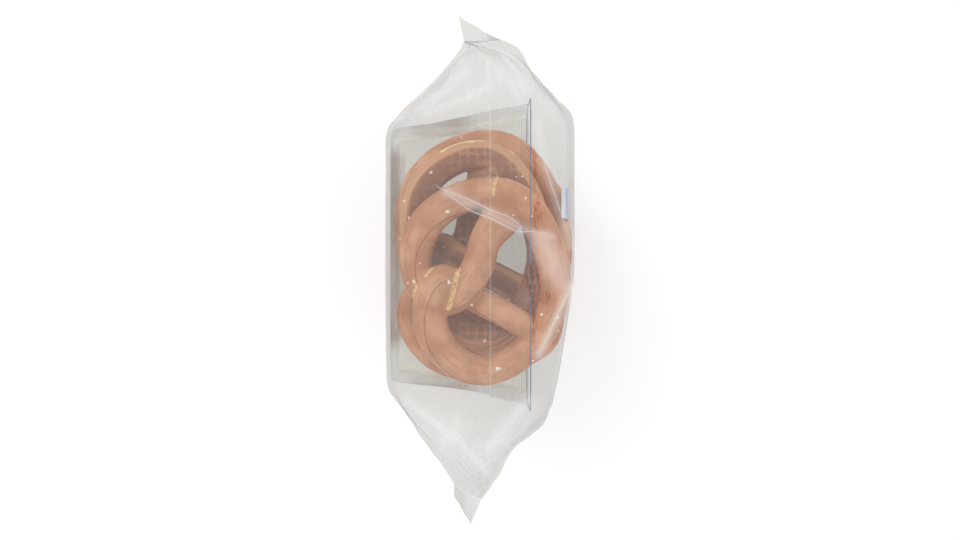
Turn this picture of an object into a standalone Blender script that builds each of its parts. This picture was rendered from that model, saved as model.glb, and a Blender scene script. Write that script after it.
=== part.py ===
"""A sealed clear pack of soft pretzels, lying on its side, as one closed solid.

The film is wrapped round a tray of pretzels, gathered into a wedge at each end
and closed there by a thin crimped seal. The solid is the outer form of the film.
Metres, +Z up, +Y along the pack. The origin is under the middle of the pack.
"""
from collections import namedtuple
from math import cos, pi, sin

import bmesh
import bpy

for old in list(bpy.data.objects):
    bpy.data.objects.remove(old, do_unlink=True)

# Driving dimensions.
PACK_LENGTH = 0.307
PACK_WIDTH = 0.113
PACK_DEPTH = 0.100
SEAL_HEIGHT = 0.016
SEAL_THICKNESS = 0.002
SEAL_INSET = 0.004
SHOULDER_RADIUS = 0.006
TUCK_DEPTH = 0.016
TIGHT_WIDTH = 0.092

HALF_LENGTH = PACK_LENGTH / 2
HALF_WIDTH = PACK_WIDTH / 2
HALF_SEAL = SEAL_THICKNESS / 2

# Mesh fineness.
RINGS_PER_SPAN = 4
CORNER_STEPS = 4
FACE_STEPS = 4

FILM_COLOUR = (0.80, 0.81, 0.81, 1.0)
FILM_ROUGHNESS = 0.15

# A cross-section of the film. The upper pair of edges lies on the shown side, the
# lower pair on the side that rests. inset is how far both faces draw in, and tuck
# is how deep the middle of each face is folded in between the side walls.
Section = namedtuple("Section", "y upper_left upper_right lower_left lower_right inset tuck")


def seal_section(y, upper_centre, lower_centre):
    """A section through a crimped seal, which leans from one side to the other."""
    return Section(y, upper_centre - HALF_SEAL, upper_centre + HALF_SEAL,
                   lower_centre - HALF_SEAL, lower_centre + HALF_SEAL, SEAL_INSET, 0.0)


def box_section(y, right):
    """A section through the middle of the pack, where the film is stretched square."""
    return Section(y, -HALF_WIDTH, right, -HALF_WIDTH, right, 0.0, 0.0)


SECTIONS = [
    seal_section(-HALF_LENGTH, -0.0065, -0.0165),
    seal_section(-HALF_LENGTH + SEAL_HEIGHT, -0.0010, -0.0175),
    Section(-0.126, -0.007, 0.008, -0.025, 0.008, SEAL_INSET / 2, TUCK_DEPTH),
    Section(-0.106, -0.025, 0.022, -0.038, 0.026, SEAL_INSET / 2, TUCK_DEPTH / 2),
    Section(-0.092, -0.040, 0.038, -0.046, 0.040, 0.0, TUCK_DEPTH / 6),
    Section(-0.074, -0.0535, TIGHT_WIDTH / 2 - 0.001, -0.055, TIGHT_WIDTH / 2, 0.0, 0.0),
    box_section(-0.062, TIGHT_WIDTH / 2 + 0.001),
    box_section(-0.034, HALF_WIDTH - 0.0045),
    box_section(-0.003, HALF_WIDTH),
    box_section(0.078, HALF_WIDTH),
    Section(0.088, -0.053, 0.0555, -0.0535, 0.056, 0.0, 0.0),
    Section(0.100, -0.043, 0.047, -0.0435, 0.053, 0.0, TUCK_DEPTH / 4),
    Section(0.118, -0.0255, 0.030, -0.026, 0.040, SEAL_INSET / 2, TUCK_DEPTH / 2),
    Section(0.129, -0.0145, 0.012, -0.013, 0.030, SEAL_INSET / 2, TUCK_DEPTH),
    seal_section(HALF_LENGTH - SEAL_HEIGHT, -0.0090, 0.0020),
    seal_section(HALF_LENGTH, -0.0115, 0.0035),
]


def blend_sections(low, high, share):
    """The section a given share of the way from one named section to the next."""
    return Section(*(a + (b - a) * share for a, b in zip(low, high)))


def corner_arc(radius, start_angle):
    """Points of a quarter circle about (0, 0), turning anticlockwise."""
    step = pi / 2 / CORNER_STEPS
    angles = [start_angle + step * i for i in range(CORNER_STEPS + 1)]
    return [(radius * cos(angle), radius * sin(angle)) for angle in angles]


def section_outline(section):
    """The closed outline of a section as (x, y, z) points, anticlockwise from +Y's end."""
    bottom = section.inset
    top = PACK_DEPTH - section.inset
    narrowest = min(section.upper_right - section.upper_left, section.lower_right - section.lower_left)
    radius = min(SHOULDER_RADIUS, narrowest * 0.45)

    def side(lower_x, upper_x, z):
        return lower_x + (upper_x - lower_x) * (z - bottom) / (top - bottom)

    def left_at(z):
        return side(section.lower_left, section.upper_left, z)

    def right_at(z):
        return side(section.lower_right, section.upper_right, z)

    def face(left, right, z, inward):
        """Inner points of the upper or lower face, running from left to right."""
        points = []
        for i in range(1, FACE_STEPS):
            share = i / FACE_STEPS
            fold = 1 - abs(2 * share - 1)
            points.append((left + radius + (right - left - 2 * radius) * share, z + inward * section.tuck * fold))
        return points

    low_z = bottom + radius
    high_z = top - radius
    outline = [(right_at(high_z) - radius + dx, high_z + dz) for dx, dz in corner_arc(radius, 0.0)]
    outline += reversed(face(left_at(high_z), right_at(high_z), top, -1))
    outline += [(left_at(high_z) + radius + dx, high_z + dz) for dx, dz in corner_arc(radius, pi / 2)]
    outline += [(left_at(low_z) + radius + dx, low_z + dz) for dx, dz in corner_arc(radius, pi)]
    outline += face(left_at(low_z), right_at(low_z), bottom, 1)
    outline += [(right_at(low_z) - radius + dx, low_z + dz) for dx, dz in corner_arc(radius, 1.5 * pi)]
    return [(x, section.y, z) for x, z in outline]


def pack_sections():
    """All sections along the pack, with even steps between the named ones."""
    sections = []
    for low, high in zip(SECTIONS, SECTIONS[1:]):
        sections += [blend_sections(low, high, i / RINGS_PER_SPAN) for i in range(RINGS_PER_SPAN)]
    return sections + [SECTIONS[-1]]


def film_material():
    material = bpy.data.materials.new("clear_film")
    material.use_nodes = True
    shader = material.node_tree.nodes["Principled BSDF"]
    shader.inputs["Base Color"].default_value = FILM_COLOUR
    shader.inputs["Roughness"].default_value = FILM_ROUGHNESS
    shader.inputs["Metallic"].default_value = 0.0
    return material


def build_pack():
    """Loft the film through its sections and close both seals."""
    mesh_builder = bmesh.new()
    rings = [[mesh_builder.verts.new(point) for point in section_outline(section)] for section in pack_sections()]
    for ring, next_ring in zip(rings, rings[1:]):
        for i in range(len(ring)):
            j = (i + 1) % len(ring)
            mesh_builder.faces.new((ring[i], ring[j], next_ring[j], next_ring[i]))
    mesh_builder.faces.new(reversed(rings[0]))
    mesh_builder.faces.new(rings[-1])
    bmesh.ops.triangulate(mesh_builder, faces=mesh_builder.faces)
    bmesh.ops.recalc_face_normals(mesh_builder, faces=mesh_builder.faces)
    mesh = bpy.data.meshes.new("pretzel_pack")
    mesh_builder.to_mesh(mesh)
    mesh_builder.free()
    mesh.materials.append(film_material())
    pack = bpy.data.objects.new("pretzel_pack", mesh)
    bpy.context.scene.collection.objects.link(pack)
    return pack


build_pack()
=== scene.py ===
import math
import random

import bmesh
import bpy
import numpy as np
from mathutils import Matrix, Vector, noise
from mathutils.bvhtree import BVHTree


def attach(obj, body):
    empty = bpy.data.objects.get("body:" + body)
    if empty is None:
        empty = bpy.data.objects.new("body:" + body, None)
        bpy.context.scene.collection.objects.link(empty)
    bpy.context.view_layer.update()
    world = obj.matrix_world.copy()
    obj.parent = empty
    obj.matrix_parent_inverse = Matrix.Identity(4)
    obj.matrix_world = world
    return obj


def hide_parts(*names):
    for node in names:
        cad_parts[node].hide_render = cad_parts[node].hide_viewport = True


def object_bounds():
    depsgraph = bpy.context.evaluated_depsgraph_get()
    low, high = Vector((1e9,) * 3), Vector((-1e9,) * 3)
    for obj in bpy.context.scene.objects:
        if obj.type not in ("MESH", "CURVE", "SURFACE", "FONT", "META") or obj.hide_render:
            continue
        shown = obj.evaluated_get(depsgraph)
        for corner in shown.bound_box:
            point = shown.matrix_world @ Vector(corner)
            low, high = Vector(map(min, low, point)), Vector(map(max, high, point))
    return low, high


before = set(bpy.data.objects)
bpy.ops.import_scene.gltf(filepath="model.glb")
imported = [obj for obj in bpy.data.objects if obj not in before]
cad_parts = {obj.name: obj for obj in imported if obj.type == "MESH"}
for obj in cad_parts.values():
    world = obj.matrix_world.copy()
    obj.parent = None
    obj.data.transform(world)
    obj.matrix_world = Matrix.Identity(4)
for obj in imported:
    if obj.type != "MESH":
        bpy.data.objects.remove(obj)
cad_low, cad_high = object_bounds()
scene = bpy.context.scene
scene.view_settings.view_transform = "Standard"
MM = 0.001

# ----------------------------------------
# Camera
# A product camera on a stand looks straight down on the pack, with a long lens.
# ----------------------------------------
CAMERA_ABOVE_PACK = 1.2
VIEW_WIDTH = 0.576

camera_data = bpy.data.cameras.new("camera")
camera_data.sensor_width = 36.0
camera_data.lens = camera_data.sensor_width * CAMERA_ABOVE_PACK / VIEW_WIDTH
camera = bpy.data.objects.new("camera", camera_data)
camera.location = (0.0, 0.0, cad_high.z + CAMERA_ABOVE_PACK)
scene.collection.objects.link(camera)
scene.camera = camera

# ----------------------------------------
# Pretzels
# Wheat dough rolled into a rope, looped, crossed twice and its ends pressed on the belly,
# then dipped in lye and baked on a perforated sheet: brown skin, flat darker underside,
# pale crumb where the skin tore. Four stand on edge in the tray, the first facing up.
# ----------------------------------------

# The rope's route in mm, from one arm's end to the other: across, along, lift, half width.
ROPE_ROUTE = [
    (16.0, 41.0, 3.5, 12.0), (13.5, 33.0, 4.5, 12.6), (3.8, 18.5, 4.2, 10.0), (-1.0, 3.0, 6.0, 10.0),
    (-7.5, -8.0, 8.5, 9.6), (-12.5, -16.0, 6.0, 8.6), (-20.0, -20.0, 1.0, 8.0), (-28.0, -17.5, 0.0, 8.8),
    (-35.0, -9.5, 0.0, 9.8), (-39.0, 1.5, 0.0, 10.2), (-39.0, 13.5, 0.0, 10.2), (-33.5, 27.5, 0.0, 10.5),
    (-22.5, 38.5, 0.0, 10.2), (-8.5, 45.0, 0.0, 9.8), (6.0, 47.5, 0.0, 9.6), (20.0, 44.5, 0.0, 9.8),
    (32.5, 33.5, 0.0, 10.0), (41.0, 16.5, 0.0, 10.0), (45.5, -3.0, 0.0, 9.8), (45.0, -18.5, 0.0, 8.8),
    (39.0, -35.0, 0.0, 9.2), (28.0, -48.5, 0.0, 9.6), (16.0, -57.5, 0.0, 9.2), (3.0, -61.5, 0.0, 9.2),
    (-10.5, -58.5, 0.0, 9.8), (-21.5, -50.0, 0.0, 10.4), (-28.5, -38.5, 0.0, 10.6), (-31.0, -25.5, 2.0, 10.4),
    (-29.0, -14.0, 6.0, 10.2), (-24.5, -6.5, 8.5, 9.8), (-19.0, -6.5, 7.0, 9.0), (-12.0, -11.0, 2.0, 8.4),
    (-5.0, -16.5, 0.0, 8.2), (3.5, -21.0, 1.0, 8.2), (13.5, -26.0, 3.0, 8.2), (24.5, -32.5, 5.0, 8.2),
    (34.0, -38.0, 6.0, 7.8),
]
# The fourth pretzel was shaped wider, with its knot set lower.
FOURTH_ROUTE = [
    (22.0, 50.0, 6.0, 8.6), (12.0, 40.0, 5.0, 9.2), (2.0, 28.0, 4.0, 9.4), (-4.0, 13.0, 6.0, 9.4),
    (-9.0, 1.0, 8.0, 9.0), (-15.0, -9.0, 5.0, 8.6), (-23.0, -14.0, 1.0, 8.4), (-33.0, -11.0, 0.0, 9.0),
    (-41.0, -1.0, 0.0, 9.6), (-43.5, 12.0, 0.0, 9.8), (-41.0, 26.0, 0.0, 9.6), (-33.0, 38.5, 0.0, 9.4),
    (-20.0, 45.0, 0.0, 9.2), (-5.0, 45.5, 0.0, 9.4), (11.0, 49.0, 0.0, 9.8), (27.0, 53.5, 0.0, 9.8),
    (40.5, 51.0, 0.0, 10.0), (46.5, 40.0, 0.0, 9.8), (46.5, 24.0, 0.0, 9.6), (46.0, 6.0, 0.0, 9.6),
    (45.5, -12.0, 0.0, 9.6), (44.5, -30.0, 0.0, 10.0), (40.5, -44.0, 0.0, 10.2), (28.0, -52.0, 0.0, 10.2),
    (14.0, -57.5, 0.0, 10.2), (-2.0, -61.0, 0.0, 9.8), (-18.0, -59.5, 0.0, 10.0), (-31.5, -52.0, 0.0, 10.2),
    (-40.5, -40.0, 0.0, 10.4), (-43.5, -26.0, 1.0, 10.2), (-38.5, -14.0, 5.0, 10.0), (-29.5, -6.0, 8.0, 9.6),
    (-20.0, -7.0, 6.0, 9.0), (-9.0, -19.0, 2.0, 8.8), (4.0, -28.0, 0.0, 9.0), (18.0, -33.0, 2.0, 8.6),
    (33.0, -39.0, 5.0, 7.8),
]
ROPE_STEP = 1.5
ROPE_SIDES = 28
ROPE_TOP = 0.92
ROPE_FLAT = 0.66
ROPE_UNDERSIDE = 0.85
END_ROUNDING = 8.0
DOUGH_VOXEL = 0.9 * MM


def smooth_samples(points, step):
    """Points a step apart on a smooth curve through the given ones."""
    points = np.array(points, float)
    padded = np.vstack([2 * points[0] - points[1], points, 2 * points[-1] - points[-2]])
    samples = []
    for before, start, end, after in zip(padded, padded[1:], padded[2:], padded[3:]):
        count = max(1, round(np.linalg.norm((end - start)[:3]) / step))
        for i in range(count):
            t = i / count
            samples.append(0.5 * (2 * start + (end - before) * t
                                  + (2 * before - 5 * start + 4 * end - after) * t ** 2
                                  + (3 * start - before - 3 * end + after) * t ** 3))
    return np.array(samples + [points[-1]])


def rope_frame(route):
    """Unit tangent and sideways directions along a route, with the rope's upright kept vertical."""
    tangent = np.gradient(route[:, :3], axis=0)
    tangent /= np.linalg.norm(tangent, axis=1, keepdims=True)
    side = np.stack([tangent[:, 1], -tangent[:, 0], np.zeros(len(route))], axis=1)
    side /= np.linalg.norm(side, axis=1, keepdims=True)
    return tangent, side


def new_object(name, mesh):
    made = bpy.data.objects.new(name, mesh)
    scene.collection.objects.link(made)
    return made


def mesh_from(name, vertices, faces):
    mesh = bpy.data.meshes.new(name)
    mesh.from_pydata([tuple(v) for v in vertices], [], faces)
    mesh.update()
    return mesh


def tube_faces(rings, sides, closed_ends=True):
    faces = []
    for i in range(rings - 1):
        for j in range(sides):
            k = (j + 1) % sides
            faces.append((i * sides + j, i * sides + k, (i + 1) * sides + k, (i + 1) * sides + j))
    if closed_ends:
        faces.append(tuple(reversed(range(sides))))
        faces.append(tuple(range((rings - 1) * sides, rings * sides)))
    return faces


def apply_modifiers(piece):
    """Replaces a piece's mesh with what its modifiers make of it."""
    graph = bpy.context.evaluated_depsgraph_get()
    graph.update()
    mesh = bpy.data.meshes.new_from_object(piece.evaluated_get(graph))
    piece.modifiers.clear()
    piece.data = mesh


def rope_mesh(name, route, roll):
    """The rope as one swept tube with rounded ends and the flat underside it gets on the baking sheet. The
    roll, in radians, turns that flat a little towards the inside of the loops."""
    tangent, side = rope_frame(route)
    length = np.concatenate([[0], np.cumsum(np.linalg.norm(np.diff(route[:, :3], axis=0), axis=1))])
    to_end = np.minimum(length, length[-1] - length)
    rounding = np.sqrt(np.clip(1 - (1 - to_end / END_ROUNDING).clip(0, 1) ** 2, 0.02, 1))
    angle = np.linspace(0, 2 * math.pi, ROPE_SIDES, endpoint=False)
    across, up = np.cos(angle), np.sin(angle)
    height = np.where(up > 0, ROPE_TOP * up, -np.minimum(ROPE_UNDERSIDE * np.abs(up), ROPE_FLAT))
    across, height = (across * math.cos(roll) - height * math.sin(roll),
                      across * math.sin(roll) + height * math.cos(roll))
    vertices = []
    for centre, sideways, half_width in zip(route, side, route[:, 3] * rounding):
        for a, h in zip(across, height):
            vertices.append((centre[:3] + sideways * a * half_width + np.array([0, 0, h * half_width])) * MM)
    return mesh_from(name, vertices, tube_faces(len(route), ROPE_SIDES))


def vertex_array(mesh, field="co"):
    values = np.empty(len(mesh.vertices) * 3)
    source, key = (mesh.vertices, "co") if field == "co" else (mesh.vertex_normals, "vector")
    source.foreach_get(key, values)
    return values.reshape(-1, 3)


def set_positions(mesh, positions):
    mesh.vertices.foreach_set("co", positions.ravel())
    mesh.update()


def store(mesh, name, values):
    mesh.attributes.new(name, "FLOAT", "POINT").data.foreach_set("value", np.asarray(values, float))


def noise_at(points, scale, seed):
    """Smooth noise from -1 to 1, with lumps of about the given size in metres."""
    shift = Vector((seed * 7.3, seed * 3.1, seed * 5.7))
    return np.array([noise.noise(Vector(p) / scale + shift) for p in points])


def smooth_step(low, high, value):
    t = np.clip((value - low) / (high - low), 0, 1)
    return t * t * (3 - 2 * t)


def path_distance(points, path):
    """Shortest distance in plan from each point to a polyline."""
    path = np.array(path, float)
    best = np.full(len(points), 1e9)
    for start, end in zip(path, path[1:]):
        run = end - start
        t = np.clip(((points[:, :2] - start) @ run) / (run @ run), 0, 1)
        best = np.minimum(best, np.linalg.norm(points[:, :2] - start - t[:, None] * run, axis=1))
    return best


# Tears in the skin, in mm on the route's plan: where the crossing strands pulled apart.
TEARS = [
    ([(-13.2, 0.5), (-15.0, -6.0), (-16.0, -12.0), (-19.0, -23.5)], 1.5),
    ([(-29.0, 1.0), (-33.5, -4.0)], 0.7),
    ([(-38.5, -9.0), (-40.0, -13.5), (-41.0, -16.5)], 0.9),
    ([(10.0, 56.0), (8.0, 50.0), (7.8, 45.5)], 0.8),
]
SEAM_START_ANGLE = 100
SEAM_TURN_PER_MM = -1.25


def bake_dough(name, route, roll, tears, seed):
    """Fuses the rope where it crosses, swells it unevenly and stores what its skin went through."""
    piece = new_object(name, rope_mesh(name, route, roll))
    remesh = piece.modifiers.new("fuse", "REMESH")
    remesh.mode = "VOXEL"
    remesh.voxel_size = DOUGH_VOXEL
    soften = piece.modifiers.new("soften", "SMOOTH")
    soften.factor = 0.5
    soften.iterations = 5
    apply_modifiers(piece)
    mesh = piece.data
    points = vertex_array(mesh)
    normals = vertex_array(mesh, "normal")
    lumps = 0.35 * noise_at(points, 0.017, seed) + 0.12 * noise_at(points, 0.006, seed + 1)
    pores = 0.05 * noise_at(points, 0.0016, seed + 2)

    tangent, side = rope_frame(route)
    length = np.concatenate([[0], np.cumsum(np.linalg.norm(np.diff(route[:, :3], axis=0), axis=1))])
    place = points / MM
    nearest = np.empty(len(place), int)
    first = np.empty(len(place))
    second = np.empty(len(place))
    for start in range(0, len(place), 4000):
        part = place[start:start + 4000]
        gap = np.linalg.norm(part[:, None, :] - route[None, :, :3], axis=2) - route[None, :, 3] * 0.9
        pick = gap.argmin(axis=1)
        nearest[start:start + 4000] = pick
        first[start:start + 4000] = gap.min(axis=1)
        apart = np.abs(length[None, :] - length[pick][:, None])
        second[start:start + 4000] = np.where(apart > 24, gap, 1e9).min(axis=1)
    offset = place - route[nearest, :3]
    sideways = (offset * side[nearest]).sum(axis=1)
    lateral = sideways * math.cos(roll) + offset[:, 2] * math.sin(roll)
    above = offset[:, 2] * math.cos(roll) - sideways * math.sin(roll)
    angle = np.arctan2(above, lateral)
    width = route[nearest, 3]
    crease = 1 - smooth_step(0.0, 2.4, second - first)
    tear_gap = np.full(len(place), 9.0)
    for path, half in tears:
        tear_gap = np.minimum(tear_gap, path_distance(place, path) / half)
    tear = np.where(offset[:, 2] > -2, 1 - smooth_step(0.5, 1.3, tear_gap), 0)
    seam_angle = math.radians(SEAM_START_ANGLE) + math.radians(SEAM_TURN_PER_MM) * (length[nearest] - 100)
    around = np.angle(np.exp(1j * (angle - seam_angle)))
    store(mesh, "along", length[nearest] * MM)
    store(mesh, "around", angle * width * MM)
    store(mesh, "seam", around * width * MM)
    store(mesh, "crease", crease)
    store(mesh, "tear", tear)
    store(mesh, "height", above / width)
    set_positions(mesh, points + normals * ((lumps + pores - 0.7 * tear) * MM)[:, None])
    mesh.shade_smooth()
    return piece


def linear(hex_colour, alpha=1.0):
    """An sRGB hex colour as linear RGBA."""
    channels = [int(hex_colour[i:i + 2], 16) / 255 for i in (1, 3, 5)]
    return tuple(c / 12.92 if c <= 0.04045 else ((c + 0.055) / 1.055) ** 2.4 for c in channels) + (alpha,)


def add(tree, kind, inputs=None, **settings):
    """Adds a node, sets its settings and its input values, and links the inputs given as sockets."""
    made = tree.nodes.new(kind)
    for key, value in settings.items():
        setattr(made, key, value)
    for key, value in (inputs or {}).items():
        if isinstance(value, bpy.types.NodeSocket):
            tree.links.new(value, made.inputs[key])
        else:
            made.inputs[key].default_value = value
    return made


def new_material(name):
    material = bpy.data.materials.new(name)
    material.use_nodes = True
    material.node_tree.nodes.clear()
    return material, material.node_tree


def finish_material(tree, surface):
    add(tree, "ShaderNodeOutputMaterial", {"Surface": surface})


def layer(tree, base, over, share):
    """One colour laid over another by a share."""
    return add(tree, "ShaderNodeMix", {0: share, 6: base, 7: over}, data_type="RGBA").outputs[2]


def shaped(tree, value, low, high, to_low=0.0, to_high=1.0):
    """A value mapped from one range to another, with soft ends."""
    return add(tree, "ShaderNodeMapRange", {0: value, 1: low, 2: high, 3: to_low, 4: to_high},
               interpolation_type="SMOOTHSTEP").outputs[0]


def attribute(tree, name):
    return add(tree, "ShaderNodeAttribute", attribute_name=name).outputs["Fac"]


def crust_material(name, ring_marks):
    """Lye-dipped crust: brown, satin and finely pored, paler where it rose last, cream where it tore."""
    material, tree = new_material(name)
    where = add(tree, "ShaderNodeTexCoord").outputs["Object"]
    # Patches 17 mm wide, streaks 17 mm long and 2.4 mm apart, and pores of 1.4 mm, coarser than real to show.
    patches = add(tree, "ShaderNodeTexNoise", {"Vector": where, "Scale": 60.0, "Detail": 3.0}).outputs[0]
    grain = add(tree, "ShaderNodeTexNoise", {"Vector": where, "Scale": 700.0, "Detail": 4.0}).outputs[0]
    along = add(tree, "ShaderNodeCombineXYZ",
                {0: attribute(tree, "along"), 1: attribute(tree, "around")}).outputs[0]
    drawn = add(tree, "ShaderNodeVectorMath", {0: along, 1: (60.0, 420.0, 1.0)},
                operation="MULTIPLY").outputs[0]
    streaks = add(tree, "ShaderNodeTexNoise", {"Vector": drawn, "Scale": 1.0, "Detail": 3.0}).outputs[0]
    colour = layer(tree, linear("#BC7F5B"), linear("#D69F7D"), shaped(tree, patches, 0.35, 0.7))
    colour = layer(tree, colour, linear("#A1603A"), shaped(tree, streaks, 0.5, 0.75, 0.0, 0.5))
    height = attribute(tree, "height")
    side_band = shaped(tree, height, 0.2, -0.15)
    colour = layer(tree, colour, linear("#CB966E"), side_band)
    underside = shaped(tree, height, -0.5, -0.62)
    bottom = layer(tree, linear("#A0684E"), linear("#B58266"), shaped(tree, patches, 0.4, 0.65))
    if ring_marks:
        # The sheet's holes stand 5 mm apart, and each leaves a dark ring with a dark spot in it.
        cells = add(tree, "ShaderNodeTexVoronoi", {"Vector": where, "Scale": 190.0, "Randomness": 0.25},
                    voronoi_dimensions="2D").outputs[0]
        ring = add(tree, "ShaderNodeMath",
                   {0: shaped(tree, cells, 0.2, 0.29), 1: shaped(tree, cells, 0.42, 0.33)},
                   operation="MULTIPLY").outputs[0]
        strong = shaped(tree, patches, 0.42, 0.62, 0.15, 0.9)
        for mark, brown in ((ring, "#7A4D3C"), (shaped(tree, cells, 0.2, 0.1), "#80503E")):
            mark = add(tree, "ShaderNodeMath", {0: mark, 1: strong}, operation="MULTIPLY").outputs[0]
            bottom = layer(tree, bottom, linear(brown), mark)
        burst = shaped(tree, attribute(tree, "burst"), 0.35, 0.65)
        colour = layer(tree, colour, linear("#F3D3A0"), burst)
    colour = layer(tree, colour, bottom, underside)
    seam = add(tree, "ShaderNodeMath", {0: attribute(tree, "seam")}, operation="ABSOLUTE").outputs[0]
    seam_line = shaped(tree, seam, 0.0007, 0.0002)
    for line, brown in ((attribute(tree, "crease"), "#CF8F5C"), (seam_line, "#6E3419")):
        half_share = add(tree, "ShaderNodeMath", {0: line, 1: 0.5}, operation="MULTIPLY").outputs[0]
        colour = layer(tree, colour, linear(brown), half_share)
    crumb = layer(tree, linear("#F2D6A0"), linear("#D99E58"), shaped(tree, grain, 0.4, 0.62))
    colour = layer(tree, colour, crumb, attribute(tree, "tear"))
    relief = add(tree, "ShaderNodeMath", {0: grain, 1: shaped(tree, streaks, 0.3, 0.7), 2: 0.5},
                 operation="MULTIPLY_ADD").outputs[0]
    bump = add(tree, "ShaderNodeBump", {"Height": relief, "Strength": 0.35, "Distance": 0.0003}).outputs[0]
    satin = shaped(tree, patches, 0.3, 0.7, 0.38, 0.5)
    rough = add(tree, "ShaderNodeMath", {0: attribute(tree, "tear"), 1: satin}, operation="MAXIMUM").outputs[0]
    shader = add(tree, "ShaderNodeBsdfPrincipled", {"Base Color": colour, "Roughness": rough, "Normal": bump,
                                                    "IOR": 1.45, "Specular IOR Level": 0.4})
    finish_material(tree, shader.outputs[0])
    return material


def lay_pretzel(mesh, thickness, turn, shift, facing_up, plane):
    """Gives a pretzel its thickness, turns it, lays it facing up or down and puts it in its place."""
    points = vertex_array(mesh)
    angle = math.radians(turn)
    x, y = points[:, 0].copy(), points[:, 1].copy()
    points[:, 0] = x * math.cos(angle) - y * math.sin(angle) + shift[0] * MM
    points[:, 1] = x * math.sin(angle) + y * math.cos(angle) + shift[1] * MM
    points[:, 2] = points[:, 2] * (thickness if facing_up else -thickness) + plane * MM
    set_positions(mesh, points)
    if not facing_up:
        mesh.flip_normals()


# name, route, size, stretch across and along, thickness, turn in degrees, shift in mm, facing up, height of
# its middle plane in mm, roll of its flat in degrees
PRETZELS = [
    ("pretzel_first", ROPE_ROUTE, 1.0, (1.0, 1.0), 0.95, 0.0, (0.0, 0.0), True, 78.4, 0.0),
    ("pretzel_second", ROPE_ROUTE, 1.023, (0.87, 1.0), 0.9, 6.0, (-4.8, 22.0), False, 65.6, 24.0),
    ("pretzel_third", ROPE_ROUTE, 1.03, (1.04, 1.16), 0.9, 3.0, (-0.9, 22.0), True, 32.6, 0.0),
    ("pretzel_fourth", FOURTH_ROUTE, 1.0, (1.0, 1.0), 0.88, 0.0, (0.0, 0.0), True, 10.3, 0.0),
]
THINNER = 0.94
# The second's skin burst along its outer side: plan in mm, and half width.
BURST_LINE = [(-24.0, 73.0), (-19.0, 76.5), (-12.0, 79.0), (0.0, 80.5), (8.0, 80.0), (16.0, 76.5),
              (21.0, 72.0)]
BURST_HALF = 1.1
crust_up = crust_material("baked_crust", False)
crust_down = crust_material("baked_crust_sheet_marked", True)
pretzels = []
for index, (name, plan, size, stretch, thickness, turn, shift, facing_up, plane, roll) in enumerate(PRETZELS):
    points = np.array(plan, float)
    points[:, :2] *= stretch
    route = smooth_samples(points, ROPE_STEP) * size
    if not facing_up:
        route[:, 3] *= THINNER
    piece = bake_dough(name, route, math.radians(roll), TEARS if index == 0 else [], 10.0 * index + 1)
    mesh = piece.data
    lay_pretzel(mesh, thickness, turn, shift, facing_up, plane)
    if not facing_up:
        spots = vertex_array(mesh) / MM
        on_the_edge = smooth_step(plane - 2.0, plane + 3.0, spots[:, 2])
        store(mesh, "burst", on_the_edge * np.exp(-(path_distance(spots, BURST_LINE) / BURST_HALF) ** 2))
    mesh.materials.append(crust_up if facing_up else crust_down)
    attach(piece, "root")
    pretzels.append(piece)

# ----------------------------------------
# Salt
# Coarse baking salt, pressed grains 2 to 4 mm across, stuck on the wet crust before baking.
# ----------------------------------------
# Places in mm on the pack's plan, with each grain's width.
SALT_ON_TOP = [
    (-30.3, 59.9, 2.6), (-43.6, 32.1, 2.4), (-20.0, 35.1, 3.6), (-49.0, 19.4, 2.0), (-36.3, 4.2, 1.6),
    (-39.9, -6.7, 3.4), (-44.0, -7.9, 2.2), (-18.5, -7.3, 3.8), (-5.4, -21.2, 2.8), (10.9, -59.9, 4.0),
    (10.9, 57.0, 2.0), (5.4, 57.5, 1.6), (22.4, 57.5, 1.6), (26.0, 57.5, 2.2), (27.8, 43.6, 2.0),
    (20.0, 33.3, 1.6), (32.0, 32.7, 1.6), (37.5, -27.2, 2.4), (47.2, -29.0, 1.8), (47.8, -36.9, 2.4),
    (32.0, -55.0, 2.0),
]
HIDDEN_GRAINS = 70
GRAIN_CORNERS = 14


def grain_into(salt_mesh, centre, width, chance):
    """Adds one broken crystal, the hull of random points in a squashed ball."""
    corners = []
    for _ in range(GRAIN_CORNERS):
        direction = Vector([chance.gauss(0, 1) for _ in range(3)]).normalized()
        reach = width / 2 * chance.uniform(0.75, 1.1)
        pressed = Vector((direction.x, direction.y * 0.85, direction.z * 0.6))
        corners.append(salt_mesh.verts.new(centre + pressed * reach))
    hull = bmesh.ops.convex_hull(salt_mesh, input=corners)
    loose = {v for v in hull["geom_interior"] if isinstance(v, bmesh.types.BMVert)}
    bmesh.ops.delete(salt_mesh, geom=list(loose), context="VERTS")


chance = random.Random(5)
salt_builder = bmesh.new()
surfaces = []
for piece in pretzels:
    surfaces.append(BVHTree.FromPolygons([v.co for v in piece.data.vertices],
                                         [p.vertices for p in piece.data.polygons]))
for x, y, width in SALT_ON_TOP:
    above = Vector((x * MM, y * MM, cad_high.z + 0.01))
    hits = [surface.ray_cast(above, Vector((0, 0, -1)))[0] for surface in surfaces]
    hits = [hit for hit in hits if hit is not None]
    if hits:
        grain_into(salt_builder, max(hits, key=lambda hit: hit.z), width * MM, chance)
for _ in range(HIDDEN_GRAINS):
    index = chance.randrange(1, len(pretzels))
    mesh = pretzels[index].data
    vertex = mesh.vertices[chance.randrange(len(mesh.vertices))]
    upward = vertex.normal.z
    if upward > 0.2:
        grain_into(salt_builder, vertex.co.copy(), chance.uniform(1.5, 3.0) * MM, chance)
salt_data = bpy.data.meshes.new("salt_grains")
salt_builder.to_mesh(salt_data)
salt_builder.free()
salt = new_object("salt_grains", salt_data)


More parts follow.
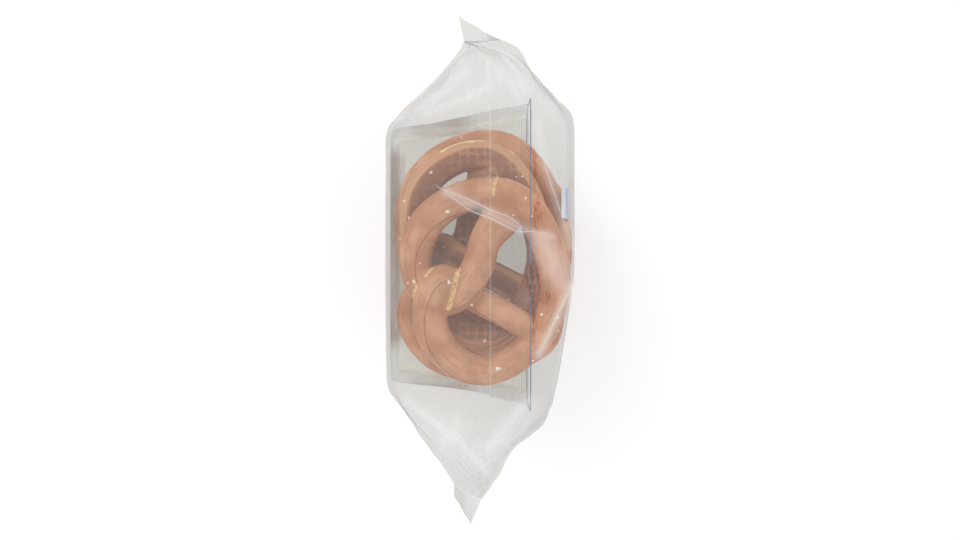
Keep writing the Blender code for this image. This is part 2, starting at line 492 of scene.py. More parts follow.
def salt_material():
    """Rock salt: milky white, faintly wet, with light going a little way in."""
    material, tree = new_material("coarse_salt")
    where = add(tree, "ShaderNodeTexCoord").outputs["Object"]
    cloud = add(tree, "ShaderNodeTexNoise", {"Vector": where, "Scale": 900.0, "Detail": 2.0}).outputs[0]
    colour = layer(tree, linear("#FFFBF0"), linear("#E9DCC4"), shaped(tree, cloud, 0.4, 0.7))
    shader = add(tree, "ShaderNodeBsdfPrincipled", {"Base Color": colour, "Roughness": 0.35, "IOR": 1.54})
    finish_material(tree, shader.outputs[0])
    return material


salt_data.materials.append(salt_material())
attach(salt, "root")

# ----------------------------------------
# Tray
# Clear PET sheet, thermoformed into an open tray that the pretzels stand in. Its open side
# faces +X, its base is at -X. Steps in the walls stiffen it, and a turned-out rim ends it.
# ----------------------------------------
# Along the draw, in mm: height over the base as x, the walls' low and high y, and the depth
# that the two long walls stand in from the faces of the pack.
TRAY_LEVELS = [
    (-54.0, -66.0, 83.5, 6.5, 12.0), (-52.5, -67.8, 85.5, 4.5, 12.0), (-49.0, -68.6, 86.5, 3.6, 12.0),
    (-30.0, -70.4, 89.0, 3.4, 12.0), (-15.6, -72.0, 92.0, 3.2, 12.0), (-0.5, -74.4, 95.4, 3.0, 12.0),
    (0.2, -75.0, 96.0, 2.9, 12.0), (5.6, -75.6, 96.4, 2.85, 12.0), (6.3, -76.8, 97.0, 2.65, 12.0),
    (21.5, -80.0, 99.4, 2.4, 12.0), (22.2, -80.4, 99.7, 2.2, 12.0), (25.5, -81.2, 100.2, 2.1, 12.0),
    (26.2, -81.6, 100.5, 1.9, 12.0), (30.2, -83.0, 101.6, 1.8, 12.0), (30.6, -85.6, 104.0, 0.9, 13.0),
]
TRAY_CORNER_STEPS = 8


def rounded_ring(low_y, high_y, low_z, high_z, radius, steps):
    """A rounded rectangle's corners and arcs as (y, z), anticlockwise."""
    ring = []
    for quarter, (cy, cz) in enumerate([(high_y - radius, high_z - radius), (low_y + radius, high_z - radius),
                                        (low_y + radius, low_z + radius), (high_y - radius, low_z + radius)]):
        for i in range(steps + 1):
            angle = math.pi / 2 * (quarter + i / steps)
            ring.append((cy + radius * math.cos(angle), cz + radius * math.sin(angle)))
    return ring


depth = (cad_high.z - cad_low.z) / MM
tray_rings = []
for x, low_y, high_y, stand_in, radius in TRAY_LEVELS:
    ring = rounded_ring(low_y, high_y, stand_in, depth - stand_in, radius, TRAY_CORNER_STEPS)
    tray_rings += [(x * MM, y * MM, z * MM) for y, z in ring]
ring_size = 4 * (TRAY_CORNER_STEPS + 1)
tray_faces = tube_faces(len(TRAY_LEVELS), ring_size, closed_ends=False)
tray_faces.append(tuple(range(ring_size)))
tray = new_object("tray", mesh_from("tray", tray_rings, tray_faces))
tray.data.shade_smooth()
tray.data.set_sharp_from_angle(angle=math.radians(30))


# Where a shade is given, its tint is multiplied into what shows through: the tray's painted reflection of the
# crust, and the film's painted shade.
def clear_sheet_material(name, tint, edge_tint, veil, gloss, most_gloss, roughness, haze=None, shade=None,
                         shade_tint="#B8A499"):
    """A clear plastic sheet: what is behind shows through a faint tint that deepens where it is seen
    edge-on, with a mirror gloss that grows there too, under a soft milky veil."""
    material, tree = new_material(name)
    edge_on = add(tree, "ShaderNodeLayerWeight", {"Blend": 0.35}).outputs["Facing"]
    through = layer(tree, linear(tint), linear(edge_tint), shaped(tree, edge_on, 0.5, 0.95))
    if shade is not None:
        through = layer(tree, through, linear(shade_tint), shade(tree))
    clear = add(tree, "ShaderNodeBsdfTransparent", {"Color": through}).outputs[0]
    mirror = add(tree, "ShaderNodeBsdfGlossy", {"Roughness": roughness}).outputs[0]
    milky = add(tree, "ShaderNodeBsdfDiffuse", {"Color": linear("#F1F0EE")}).outputs[0]
    fresnel = add(tree, "ShaderNodeFresnel", {"IOR": 1.5}).outputs[0]
    shine = add(tree, "ShaderNodeMath", {0: fresnel, 1: gloss}, operation="MULTIPLY").outputs[0]
    shine = add(tree, "ShaderNodeMath", {0: shine, 1: most_gloss}, operation="MINIMUM").outputs[0]
    surface = add(tree, "ShaderNodeMixShader", {0: shine, 1: clear, 2: mirror}).outputs[0]
    cover = veil
    if haze is not None:
        cover = add(tree, "ShaderNodeMath", {0: haze(tree), 1: veil}, operation="ADD",
                    use_clamp=True).outputs[0]
    finish_material(tree, add(tree, "ShaderNodeMixShader", {0: cover, 1: surface, 2: milky}).outputs[0])
    return material


def let_light_in(piece):
    """Clear sheets pass the studio's light on to what they hold."""
    piece.visible_shadow = False
    piece.visible_diffuse = False


def from_line(tree, axis, middle):
    """Distance from one line across the tray, whose place on the axis is in mm."""
    where = add(tree, "ShaderNodeTexCoord").outputs["Object"]
    place = add(tree, "ShaderNodeSeparateXYZ", {0: where}).outputs[axis]
    away = add(tree, "ShaderNodeMath", {0: place, 1: middle * MM}, operation="SUBTRACT").outputs[0]
    return add(tree, "ShaderNodeMath", {0: away}, operation="ABSOLUTE").outputs[0]


def draw_lines(tree):
    """Fine lines along the steps, where the sheet was drawn thinner over the mould."""
    where = add(tree, "ShaderNodeTexCoord").outputs["Object"]
    across = add(tree, "ShaderNodeSeparateXYZ", {0: where}).outputs["X"]
    across = add(tree, "ShaderNodeCombineXYZ", {0: across}).outputs[0]
    lines = add(tree, "ShaderNodeTexNoise", {"Vector": across, "Scale": 900.0, "Detail": 2.0}).outputs[0]
    total = 0.0
    for middle, half in DRAWN_STEPS:
        near = shaped(tree, from_line(tree, "X", middle), half * MM, half * 0.5 * MM)
        total = add(tree, "ShaderNodeMath", {0: total, 1: near}, operation="MAXIMUM").outputs[0]
    lines = shaped(tree, lines, 0.5, 0.75, 0.0, 0.32)
    return add(tree, "ShaderNodeMath", {0: lines, 1: total}, operation="MULTIPLY").outputs[0]


def draw_lines_and_crust_reflection(tree):
    """The draw lines, and a painted reflection of the crust's brown in the walls beside it: deep along the
    base, pale at both ends.
    """
    where = add(tree, "ShaderNodeTexCoord").outputs["Object"]
    across = add(tree, "ShaderNodeSeparateXYZ", {0: where}).outputs["X"]
    reflected_crust_blotches = add(tree, "ShaderNodeTexNoise", {"Vector": where, "Scale": 45.0, "Detail": 3.0}).outputs[0]
    reflected_crust_blotches = shaped(tree, reflected_crust_blotches, 0.35, 0.6, 0.55, 1.0)
    total = 0.0
    for bounds in (
        (shaped(tree, across, -47 * MM, -50 * MM, 0.0, 0.62),
         shaped(tree, from_line(tree, "Y", 14.0), 66 * MM, 54 * MM)),
        (shaped(tree, from_line(tree, "Y", 9.0), 76 * MM, 79 * MM, 0.0, 0.42),
         shaped(tree, across, 2 * MM, -16 * MM), shaped(tree, across, -47 * MM, -38 * MM)),
    ):
        brown = reflected_crust_blotches
        for bound in bounds:
            brown = add(tree, "ShaderNodeMath", {0: brown, 1: bound}, operation="MULTIPLY").outputs[0]
        total = add(tree, "ShaderNodeMath", {0: total, 1: brown}, operation="MAXIMUM").outputs[0]
    return add(tree, "ShaderNodeMath", {0: total, 1: draw_lines(tree)}, operation="MAXIMUM").outputs[0]


def painted_bead_glint(tree):
    """A painted glint: a thin pale line over the first step, laid on as milky veil."""
    return shaped(tree, from_line(tree, "X", BEAD_X), 0.32 * MM, 0.1 * MM, 0.0, 0.3)


# The first step's place along the draw in mm, where the painted glint runs.
BEAD_X = 6.1
# Where the draw lines gather, in mm: middle and half width of each group.
DRAWN_STEPS = [(-2.5, 5.0), (25.0, 6.5)]
# The tray's walls carry a painted reflection of the crust, and a painted glint over the first step.
tray.data.materials.append(clear_sheet_material("clear_pet_sheet", "#F8F8F5", "#F6F8FB", 0.03, 1.0, 0.25,
                                                0.15, painted_bead_glint, draw_lines_and_crust_reflection))
let_light_in(tray)
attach(tray, "root")

# The rim's cut edge carries the light of the whole sheet, so it reads as a thin blue-grey line.
RIM_X = 30.2
RIM_THICKNESS = 0.55
RIM_WIDTH = 0.8
RIM_LOW_Y, RIM_HIGH_Y = -85.8, 104.2
RIM_STAND_IN = 0.7
RIM_RADIUS = 13.0
rim_points = []
for x, inward in [(RIM_X, 0.0), (RIM_X + RIM_THICKNESS, 0.0),
                  (RIM_X + RIM_THICKNESS, RIM_WIDTH), (RIM_X, RIM_WIDTH)]:
    stand_in = RIM_STAND_IN + inward
    edge = rounded_ring(RIM_LOW_Y + inward, RIM_HIGH_Y - inward, stand_in, depth - stand_in,
                        RIM_RADIUS - inward, TRAY_CORNER_STEPS)
    rim_points += [(x * MM, y * MM, z * MM) for y, z in edge]
rim_faces = []
for level in range(4):
    for j in range(ring_size):
        k = (j + 1) % ring_size
        upper = (level + 1) % 4
        rim_faces.append((level * ring_size + j, level * ring_size + k,
                          upper * ring_size + k, upper * ring_size + j))
rim = new_object("tray_rim", mesh_from("tray_rim", rim_points, rim_faces))
rim_material, rim_tree = new_material("pet_cut_edge")
rim_shader = add(rim_tree, "ShaderNodeBsdfPrincipled",
                 {"Base Color": linear("#5D7186"), "Roughness": 0.25, "IOR": 1.57})
finish_material(rim_tree, rim_shader.outputs[0])
rim.data.materials.append(rim_material)
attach(rim, "root")

# ----------------------------------------
# Film
# Clear polypropylene film wrapped round the tray, drawn into a wedge at each end with its
# short sides tucked in, and closed there by a crimped seal that a knife cuts off.
# ----------------------------------------
half_length = (cad_high.y - cad_low.y) / 2 / MM
half_width = (cad_high.x - cad_low.x) / 2 / MM
SEAL_HEIGHT = 16.0
FACE_CELLS = 72
WALL_CELLS = 56
CORNER_CELLS = 5
SHOULDER = 3.5
FILM_STEP = 1.6
SEAL_THICK = 0.5


def film_outline(upper_left, upper_right, lower_left, lower_right, inset, tuck, radius=SHOULDER):
    """One closed outline of the film across the pack as (x, z): right wall's top corner, shown face from
    right to left, left wall down, resting face from left to right, right wall up."""
    low, high = inset, depth - inset
    radius = min(radius, (min(upper_right - upper_left, lower_right - lower_left)) * 0.45)
    upper = (upper_left, upper_right)
    lower = (lower_left, lower_right)

    def corner(cx, cz, start):
        turns = [start + math.pi / 2 * i / CORNER_CELLS for i in range(CORNER_CELLS + 1)]
        return [(cx + radius * math.cos(a), cz + radius * math.sin(a)) for a in turns]

    def face(x_from, x_to, z, inward):
        points = []
        for i in range(1, FACE_CELLS):
            share = i / FACE_CELLS
            # Where a side is tucked in, the face dips most along its middle.
            fold = (1 - abs(2 * share - 1)) ** 0.8
            points.append((x_from + (x_to - x_from) * share, z + inward * tuck * fold))
        return points

    def wall_run(start, end):
        start, end = np.array(start), np.array(end)
        return [tuple(start + (end - start) * i / WALL_CELLS) for i in range(1, WALL_CELLS)]

    outline = corner(upper[1] - radius, high - radius, 0.0)
    outline += face(upper[1] - radius, upper[0] + radius, high, -1)
    outline += corner(upper[0] + radius, high - radius, math.pi / 2)
    outline += wall_run((upper[0], high - radius), (lower[0], low + radius))
    outline += corner(lower[0] + radius, low + radius, math.pi)
    outline += face(lower[0] + radius, lower[1] - radius, low, 1)
    outline += corner(lower[1] - radius, low + radius, 1.5 * math.pi)
    outline += wall_run((lower[1], low + radius), (upper[1], high - radius))
    return np.array(outline)


def seal_outline(route):
    """The outline where both layers are pressed together along a route of (x, z) points, shown end first."""
    route = smooth_samples(route, 0.5)
    steps = np.linspace(0, len(route) - 1, WALL_CELLS + 1)
    x = np.interp(steps, np.arange(len(route)), route[:, 0])
    z = np.interp(steps, np.arange(len(route)), route[:, 1])
    across = np.stack([-np.gradient(z), np.gradient(x)], axis=1)
    across /= np.linalg.norm(across, axis=1, keepdims=True)
    line = np.stack([x, z], axis=1)
    right, left = line + across * SEAL_THICK / 2, line - across * SEAL_THICK / 2

    def between(start, end, count):
        return [start + (end - start) * i / count for i in range(count)]

    end_cells = FACE_CELLS + 2 * CORNER_CELLS
    outline = between(right[0], left[0], end_cells)
    outline += list(left[:-1])
    outline += between(left[-1], right[-1], end_cells)
    outline += list(right[::-1][:-1])
    return np.array(outline)


upper_seal = [(-9.5, 95.0), (-6.0, 94.2), (-1.0, 92.0), (3.0, 87.0), (5.5, 74.0), (8.5, 40.0), (12.0, 5.0)]
upper_seal_cut = [(-12.9, 95.0), (-8.0, 94.2), (-2.0, 92.0), (2.5, 87.0), (5.5, 74.0), (9.0, 40.0),
                  (13.0, 5.0)]
lower_seal = [(1.0, 95.0), (-3.0, 82.0), (-8.0, 60.0), (-13.0, 30.0), (-17.0, 5.0)]
lower_seal_cut = [(-5.5, 95.0), (-7.0, 82.0), (-10.0, 60.0), (-13.0, 30.0), (-16.5, 5.0)]
L = -half_width
R = half_width
# Outlines along the pack in mm: y, shown face's left and right, resting face's left and right, inset, tuck.
FILM_STATIONS = [
    (-126.0, -8.0, 10.0, -25.0, 6.0, 2.0, 10.0),
    (-121.0, -12.5, 13.0, -29.0, 12.0, 2.0, 10.0),
    (-106.0, -26.0, 21.5, -40.0, 26.0, 1.5, 6.0),
    (-98.0, -34.0, 33.0, -45.0, 37.0, 1.0, 4.0),
    (-91.0, -40.5, 39.0, -49.5, 43.0, 0.5, 2.0),
    (-79.0, -50.0, 43.8, -54.5, 46.5, 0.2, 0.5),
    (-72.0, -54.6, 45.0, -56.0, 49.5, 0.0, 0.0),
    (-66.0, -55.8, 46.4, L, 50.5, 0.0, 0.0),
    (-36.0, L, 51.6, L, 55.0, 0.0, 0.0),
    (-12.0, L, 55.4, L, R, 0.0, 0.0),
    (-3.0, L, R, L, R, 0.0, 0.0),
    (30.0, L, R, L, R, 0.0, 0.0),
    (76.0, L, R, L, R, 0.0, 0.0),
    (85.0, -55.0, 56.4, -55.4, 56.4, 0.2, 0.5),
    (92.0, -50.0, 55.4, -50.5, 56.0, 0.5, 1.5),
    (100.0, -42.5, 49.5, -43.5, 53.5, 1.0, 4.0),
    (108.0, -34.5, 42.0, -36.0, 48.5, 1.2, 6.0),
    (116.0, -27.0, 35.0, -28.0, 41.0, 1.5, 9.0),
    (128.0, -15.5, 22.0, -15.5, 30.0, 2.0, 12.0),
    (133.0, -11.0, 10.0, -9.5, 24.0, 2.5, 10.0),
]
UPPER_WELD = 137.0
film_outlines = [(-half_length + SEAL_HEIGHT, seal_outline(lower_seal))]
film_outlines += [(y, film_outline(*shape)) for y, *shape in FILM_STATIONS]
film_outlines.append((UPPER_WELD, seal_outline(upper_seal)))
# The upper end leans: its resting side reaches this much farther than its shown side, from one y to another.
UPPER_LEAN = 13.0
LEAN_FROM = 118.0


def interpolate_outlines(stations, places):
    """Outlines at any y, by a cubic curve through each point of the given ones that never overshoots."""
    ys = np.array([y for y, _ in stations])
    values = np.array([outline for _, outline in stations])
    gaps = np.diff(ys)[:, None, None]
    steps = np.diff(values, axis=0) / gaps
    slopes = np.zeros_like(values)
    same_way = steps[1:] * steps[:-1] > 0
    total = steps[1:] + steps[:-1]
    slopes[1:-1] = np.where(same_way, 2 * steps[1:] * steps[:-1] / np.where(same_way, total, 1), 0)
    slopes[0], slopes[-1] = steps[0], steps[-1]
    made = []
    for y in places:
        i = int(np.clip(np.searchsorted(ys, y) - 1, 0, len(ys) - 2))
        t = (y - ys[i]) / (ys[i + 1] - ys[i])
        made.append(values[i] * (1 + 2 * t) * (1 - t) ** 2 + values[i + 1] * t * t * (3 - 2 * t)
                    + slopes[i] * gaps[i] * t * (1 - t) ** 2 - slopes[i + 1] * gaps[i] * t * t * (1 - t))
    return made


first_y, last_y = film_outlines[0][0], film_outlines[-1][0]
film_ys = np.linspace(first_y, last_y, int((last_y - first_y) / FILM_STEP) + 1)
film_rings = interpolate_outlines(film_outlines, film_ys)
outline_size = len(film_rings[0])
film_points = np.array([[(x, y, z) for x, z in ring] for y, ring in zip(film_ys, film_rings)]).reshape(-1, 3)
film_points[:, 1] += (UPPER_LEAN * (1 - film_points[:, 2] / depth)
                      * smooth_step(LEAN_FROM, UPPER_WELD, film_points[:, 1]))
film = new_object("film", mesh_from("film", film_points * MM, tube_faces(len(film_ys), outline_size, False)))

# Folds: gathered film creases along lines that run together at the seals, and hangs in
# shallow waves between them.
film_normals = vertex_array(film.data, "normal")
round_share = np.tile(np.arange(outline_size) / outline_size, len(film_ys))
y = film_points[:, 1]
gather = smooth_step(84, 104, y) * (1 - 0.75 * smooth_step(122, 136, y))
gather += smooth_step(-70, -90, y) * (1 - 0.75 * smooth_step(-120, -136, y))
fan = np.stack([round_share * 26, y * 0.022, np.sign(y)], axis=1)
fine_fan = np.stack([round_share * 60, y * 0.05, np.sign(y)], axis=1)
facets = np.stack([film_points[:, 0] * 0.05 + y * 0.035, y * 0.055 - film_points[:, 0] * 0.02,
                   film_points[:, 2] * 0.03], axis=1)
creases = 1 - 1.2 * np.abs(noise_at(fan, 1.0, 3)) - 1.4 * np.abs(noise_at(facets, 1.0, 8))
fine_creases = 1 - 2.2 * np.abs(noise_at(fine_fan, 1.0, 4))
waves = noise_at(film_points, 34.0, 5)
ripples = noise_at(film_points * np.array([1.0, 0.4, 1.0]), 11.0, 6)
swell = gather * (1.1 * creases + 0.12 * fine_creases) + 0.3 * waves + 0.08 * ripples
set_positions(film.data, (film_points + film_normals * (swell - 0.3)[:, None]) * MM)
film.data.shade_smooth()

# Soft whitening, stored on the film: streaks along the creases of the ends.
streak = gather * (0.3 * smooth_step(0.3, 0.95, creases) + 0.2 * smooth_step(0.4, 1.0, fine_creases))
# Each soft band's line over the shown face in mm, its half width and its strength.
SOFT_BANDS = [
    ([(34.0, 88.0), (39.0, 63.0), (48.0, 36.0), (55.0, 15.0)], 3.0, 0.7),
    ([(55.0, -10.0), (48.0, -24.0), (41.0, -39.0), (35.0, -51.0)], 3.0, 1.2),
    ([(38.0, 16.0), (44.0, 4.0), (50.0, -6.0)], 8.0, 0.9),
    ([(-20.0, 47.0), (-8.0, 41.0), (4.0, 35.0), (15.0, 29.5), (26.0, 24.0)], 3.2, 0.8),
    ([(32.0, 22.5), (44.0, 20.0)], 2.5, 0.6),
    ([(-47.0, 91.0), (-22.5, 107.5), (-9.5, 121.0)], 3.0, 0.8),
    ([(-32.5, 94.5), (-9.5, 103.0), (6.5, 111.0)], 2.5, 0.7),
    ([(15.0, 129.0), (22.0, 120.0), (28.0, 107.5)], 3.0, 0.7),
    ([(-44.0, -78.5), (-14.5, -101.5), (2.0, -121.0)], 3.0, 0.8),
    ([(-14.5, -91.5), (-26.0, -111.0)], 3.0, 0.7),
    ([(28.0, -78.5), (5.0, -106.5)], 4.0, 0.8),
]
shown_side = film_points[:, 2] > 0.8 * depth
for line, half, strength in SOFT_BANDS:
    gap = path_distance(film_points, line)
    streak += np.where(shown_side, strength * np.exp(-(gap / half) ** 2), 0)
store(film.data, "streak", streak)

# Painted shade: an orange-brown tint in the film just right of the tray's rim, where the crust behind shows
# darker and deeper; each spot's centre and half sizes in mm.
RIM_SHADE_SPOTS = [(34.0, 34.0, 3.4, 13.0), (32.6, 60.0, 1.8, 16.0), (31.5, -5.0, 6.0, 13.0),
                (39.5, -17.0, 4.0, 5.0), (31.8, -32.0, 1.2, 16.0)]
rim_shade = np.zeros(len(film_points))
for spot_x, spot_y, reach_x, reach_y in RIM_SHADE_SPOTS:
    away = ((film_points[:, 0] - spot_x) / reach_x) ** 2 + ((y - spot_y) / reach_y) ** 2
    rim_shade = np.maximum(rim_shade, np.where(shown_side, 1 - smooth_step(0.35, 1.1, away), 0))
store(film.data, "rim_shade", rim_shade)


def rim_shade_marks(tree):
    """The painted shade, broken into runs along the film's fine creases."""
    where = add(tree, "ShaderNodeTexCoord").outputs["Object"]
    drawn = add(tree, "ShaderNodeVectorMath", {0: where, 1: (620.0, 150.0, 150.0)},
                operation="MULTIPLY").outputs[0]
    runs = add(tree, "ShaderNodeTexNoise",
               {"Vector": drawn, "Scale": 1.0, "Detail": 4.0, "Distortion": 1.2}).outputs[0]
    runs = shaped(tree, runs, 0.4, 0.62, 0.1, 0.85)
    return add(tree, "ShaderNodeMath", {0: attribute(tree, "rim_shade"), 1: runs},
               operation="MULTIPLY").outputs[0]


def film_haze(tree):
    """Scuffs and stress whitening: faint cloud all over, stronger along the gathered folds."""
    where = add(tree, "ShaderNodeTexCoord").outputs["Object"]
    cloud = add(tree, "ShaderNodeTexNoise", {"Vector": where, "Scale": 22.0, "Detail": 4.0}).outputs[0]
    cloudy = shaped(tree, cloud, 0.45, 0.75, 0.0, 0.03)
    return add(tree, "ShaderNodeMath", {0: attribute(tree, "streak"), 1: 0.26, 2: cloudy},
               operation="MULTIPLY_ADD").outputs[0]


# The film's tint carries the painted shade right of the tray's rim.
film_clear = clear_sheet_material("clear_pp_film", "#ECECEB", "#E9E9E9", 0.035, 1.0, 0.22, 0.42, film_haze,
                                  rim_shade_marks, "#C27A44")
film.data.materials.append(film_clear)
let_light_in(film)
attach(film, "root")
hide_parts("pretzel_pack")

# ----------------------------------------
# Seals
# At each end both layers are welded by hot ribbed jaws, which press fine ridges along the
# pack into the strip, and a toothed knife cuts it.
# ----------------------------------------
RIDGE_PITCH = 1.65
RIDGE_HEIGHT = 0.1
TOOTH_DEPTH = 0.7
TOOTH_PITCH = 2.0
SEAL_ROWS = 14
SEAL_COLUMNS = 285


def seal_strip(name, inner_route, cut_route, inner_line, cut_line):
    """A ridged strip from the weld's inner line to its toothed cut edge. Each line gives y in mm at shares of
    the strip, from its shown end to its far end."""
    inner, cut = smooth_samples(inner_route, 0.3), smooth_samples(cut_route, 0.3)
    columns = SEAL_COLUMNS
    spots = np.linspace(0, 1, columns)

    def read(route):
        share = np.linspace(0, 1, len(route))
        return np.stack([np.interp(spots, share, route[:, 0]), np.interp(spots, share, route[:, 1])], axis=1)

    inner, cut = read(inner), read(cut)
    run = np.concatenate([[0], np.cumsum(np.linalg.norm(np.diff(inner, axis=0), axis=1))])
    tooth = TOOTH_DEPTH * np.abs(((run / TOOTH_PITCH) % 1.0) - 0.5) * 2
    ridge = RIDGE_HEIGHT * np.sin(2 * math.pi * run / RIDGE_PITCH)
    across = np.stack([-np.gradient(inner[:, 1]), np.gradient(inner[:, 0])], axis=1)
    across /= np.linalg.norm(across, axis=1, keepdims=True)
    inner_y = np.interp(spots, *np.array(inner_line).T)
    cut_y = np.interp(spots, *np.array(cut_line).T)
    end_y = cut_y - np.sign(cut_y - inner_y) * tooth
    vertices = []
    for row in range(SEAL_ROWS + 1):
        share = row / SEAL_ROWS
        line = inner + (cut - inner) * share
        lift = ridge * min(1.0, 6 * share) * min(1.0, 5 * (1 - share) + 0.5)
        ys = inner_y + (end_y - inner_y) * share
        for j in range(columns):
            point = line[j] + across[j] * lift[j]
            vertices.append((point[0] * MM, ys[j] * MM, point[1] * MM))
    faces = []
    for row in range(SEAL_ROWS):
        for j in range(columns - 1):
            low = row * columns + j
            faces.append((low, low + 1, low + columns + 1, low + columns))
    strip = new_object(name, mesh_from(name, vertices, faces))
    crest = np.tile(0.5 + 0.5 * np.sin(2 * math.pi * run / RIDGE_PITCH), SEAL_ROWS + 1)
    store(strip.data, "crest", crest)
    strip.data.shade_smooth()
    strip.data.materials.append(seal_film)
    let_light_in(strip)
    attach(strip, "root")
    return strip


def ridge_haze(tree):
    """The jaws' ridges, whitened along their crests."""
    return add(tree, "ShaderNodeMath", {0: attribute(tree, "crest"), 1: 0.22}, operation="MULTIPLY").outputs[0]


seal_film = clear_sheet_material("welded_pp_film", "#DADAD8", "#D6D6D6", 0.04, 1.0, 0.15, 0.4, ridge_haze)
seal_strip("seal_upper", upper_seal, upper_seal_cut, [(0.0, 136.6), (0.2, 139.0), (1.0, 149.0)],
           [(0.0, half_length), (0.06, 149.5), (0.12, 147.2), (0.17, 144.5), (0.4, 145.2), (0.6, 146.6),
            (1.0, 149.6)])
seal_strip("seal_lower", lower_seal, lower_seal_cut, [(0.0, first_y), (1.0, first_y)],
           [(0.0, -half_length), (1.0, -147.5)])

# ----------------------------------------
# Pinched folds
# Where the film was slack it is pinched into thin standing folds, two layers thick, that
# catch the light as pale lines.
# ----------------------------------------
# Each fold's line over the shown face in mm, and its width.
PINCHED_FOLDS = [
    ([(-27.0, 52.0), (-24.0, 49.0), (-6.0, 42.0), (6.0, 36.0), (18.0, 31.5), (27.0, 24.5), (31.0, 23.0)], 0.8),
    ([(-26.0, 51.0), (-12.0, 40.0), (-5.5, 35.5), (6.0, 31.0), (15.0, 26.5), (23.0, 23.0), (31.0, 23.0),
      (42.0, 22.0)], 0.8),
    ([(34.0, 90.0), (39.0, 63.0), (48.0, 36.0), (55.0, 15.0)], 0.6),
    ([(55.0, -10.0), (48.0, -24.0), (41.0, -39.0), (35.0, -51.0)], 0.8),
    ([(-51.0, -73.6), (-30.0, -73.2), (-15.0, -76.2), (7.2, -78.6)], 0.5),
    ([(-40.8, -78.0), (-25.8, -80.4), (4.2, -83.4), (28.5, -88.6)], 0.5),
    ([(-27.0, -81.6), (-15.0, -94.2), (-3.0, -108.0), (8.5, -119.0)], 0.5),
    ([(1.2, -85.2), (-7.8, -93.6), (-15.6, -95.4)], 0.4),
    ([(4.2, -87.0), (0.0, -99.0), (-4.8, -106.2)], 0.4),
    ([(-9.0, 129.0), (-24.0, 108.0), (-40.0, 91.0)], 0.4),
]
FOLD_STEP = 0.8


def pinched_folds(lines):
    vertices, faces = [], []
    surface = BVHTree.FromPolygons([v.co for v in film.data.vertices],
                                   [p.vertices for p in film.data.polygons])
    for line, width in lines:
        path = smooth_samples([(px, py, 0.0) for px, py in line], FOLD_STEP)
        run = np.gradient(path[:, :2], axis=0)
        run /= np.linalg.norm(run, axis=1, keepdims=True)
        for i, ((px, py, _), (dx, dy)) in enumerate(zip(path, run)):
            taper = math.sin(math.pi * (i + 0.3) / len(path)) ** 0.6
            half = width / 2 * taper
            spot = surface.ray_cast(Vector((px * MM, py * MM, cad_high.z + 0.02)), Vector((0, 0, -1)))[0]
            top = spot.z / MM
            start = len(vertices)
            for offset, lift in ((-half, 0.0), (0.0, 0.5 * taper), (half, 0.0)):
                vertices.append(((px - dy * offset) * MM, (py + dx * offset) * MM, (top + lift) * MM))
            if i:
                for side in (0, 1):
                    faces.append((start - 3 + side, start - 2 + side, start + 1 + side, start + side))
    return mesh_from("film_folds", vertices, faces)


folds = new_object("film_folds", pinched_folds(PINCHED_FOLDS))
folds.data.materials.append(clear_sheet_material("folded_pp_film", "#F8F8F7", "#F0F0F0", 0.3, 1.2, 0.3, 0.15))
let_light_in(folds)
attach(folds, "root")

# ----------------------------------------
# Label
# A small printed sticker under the film at the +X face, its upper edge leaning inwards:
# smooth coated paper, a white field with a pale blue one beside it.
# ----------------------------------------
LABEL_Y = (30.5, 49.5)
LABEL_ROUTE = [(55.3, 30.0), (55.2, 42.0), (54.4, 52.0), (52.6, 60.0), (50.4, 66.0)]
LABEL_SLANT = 2.0
label_route = smooth_samples([(x, z, 0.0) for x, z in LABEL_ROUTE], 0.8)
label_points, label_faces = [], []
for i, (x, z, _) in enumerate(label_route):
    for j, y in enumerate(np.linspace(LABEL_Y[0], LABEL_Y[1], 9)):
        label_points.append((x * MM, (y + LABEL_SLANT * i / len(label_route)) * MM, z * MM))
        if i and j:
            corner = i * 9 + j
            label_faces.append((corner - 10, corner - 9, corner, corner - 1))
label = new_object("label", mesh_from("label", label_points, label_faces))
paper_back = label.modifiers.new("paper", "SOLIDIFY")
paper_back.thickness = 0.1 * MM
apply_modifiers(label)
label_material, label_tree = new_material("coated_label_paper")
label_place = add(label_tree, "ShaderNodeTexCoord").outputs["Object"]
label_x = add(label_tree, "ShaderNodeSeparateXYZ", {0: label_place}).outputs["X"]
blue_field = shaped(label_tree, label_x, 52.9 * MM, 53.3 * MM)
label_colour = layer(label_tree, linear("#DADAE6"), linear("#9DB8DC"), blue_field)
label_shader = add(label_tree, "ShaderNodeBsdfPrincipled",
                   {"Base Color": label_colour, "Roughness": 0.4, "IOR": 1.45})
finish_material(label_tree, label_shader.outputs[0])
label.data.materials.append(label_material)
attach(label, "root")

# ----------------------------------------
# Studio
# A pale sweep under the pack and soft lamps all round. The sweep shows white to the eye
# and in reflections, and keeps part of the shadow that falls on it.
# ----------------------------------------
FLOOR_SIZE = 4.0
WHITE_SHARE = 0.6

floor = new_object("floor", mesh_from("floor", [(-FLOOR_SIZE, -FLOOR_SIZE, 0), (FLOOR_SIZE, -FLOOR_SIZE, 0),
                                                (FLOOR_SIZE, FLOOR_SIZE, 0), (-FLOOR_SIZE, FLOOR_SIZE, 0)],
                                      [(0, 1, 2, 3)]))
floor.location.z = cad_low.z - 0.0008


def seen_directly(tree):
    """1 for what the eye sees, also in gloss and through glass, 0 for light that falls on other things."""
    path = add(tree, "ShaderNodeLightPath")
    seen = add(tree, "ShaderNodeMath", {0: path.outputs["Is Camera Ray"], 1: path.outputs["Is Glossy Ray"]},
               operation="ADD").outputs[0]
    return add(tree, "ShaderNodeMath", {0: seen, 1: path.outputs["Is Transmission Ray"]}, operation="ADD",
               use_clamp=True).outputs[0]


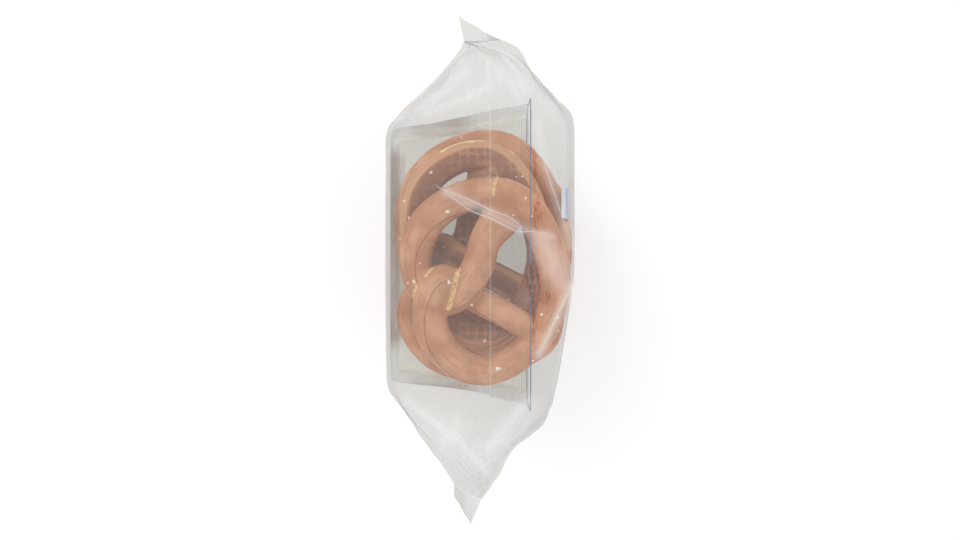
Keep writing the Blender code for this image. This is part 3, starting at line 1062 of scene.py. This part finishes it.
floor_material, floor_tree = new_material("white_sweep")
paper = add(floor_tree, "ShaderNodeBsdfDiffuse", {"Color": linear("#FBFBFB")}).outputs[0]
glow = add(floor_tree, "ShaderNodeEmission", {"Strength": 1.0}).outputs[0]
share = add(floor_tree, "ShaderNodeMath", {0: seen_directly(floor_tree), 1: WHITE_SHARE},
            operation="MULTIPLY").outputs[0]
finish_material(floor_tree, add(floor_tree, "ShaderNodeMixShader", {0: share, 1: paper, 2: glow}).outputs[0])
floor.data.materials.append(floor_material)

world = bpy.data.worlds.new("studio")
scene.world = world
world.use_nodes = True
world.node_tree.nodes.clear()
seen = seen_directly(world.node_tree)
level = add(world.node_tree, "ShaderNodeMapRange", {0: seen, 1: 0.0, 2: 1.0, 3: 0.95, 4: 1.0}).outputs[0]
# The ceiling over the camera is dark, so sheets that face it show little gloss.
towards = add(world.node_tree, "ShaderNodeTexCoord").outputs["Generated"]
height = add(world.node_tree, "ShaderNodeSeparateXYZ", {0: towards}).outputs["Z"]
ceiling = shaped(world.node_tree, height, 0.93, 0.985, 1.0, 0.3)
level = add(world.node_tree, "ShaderNodeMath", {0: level, 1: ceiling}, operation="MULTIPLY").outputs[0]
sky = add(world.node_tree, "ShaderNodeBackground", {"Color": (1, 1, 1, 1), "Strength": level}).outputs[0]
add(world.node_tree, "ShaderNodeOutputWorld", {"Surface": sky})

# name, place in metres, size in metres, power in watts
LAMPS = [
    ("lamp_over", (-0.85, 0.85, 1.2), 1.0, 9.0),
    ("lamp_side", (1.1, -0.7, 1.1), 1.0, 3.0),
]
for name, place, size, power in LAMPS:
    lamp_data = bpy.data.lights.new(name, "AREA")
    lamp_data.shape = "DISK"
    lamp_data.size = size
    lamp_data.energy = power
    lamp = bpy.data.objects.new(name, lamp_data)
    lamp.location = place
    lamp.rotation_euler = (-Vector(place)).to_track_quat("-Z", "Y").to_euler()
    scene.collection.objects.link(lamp)

# Several clear layers lie over each other at the ends, and light has to get through them all.
scene.cycles.transparent_max_bounces = 32
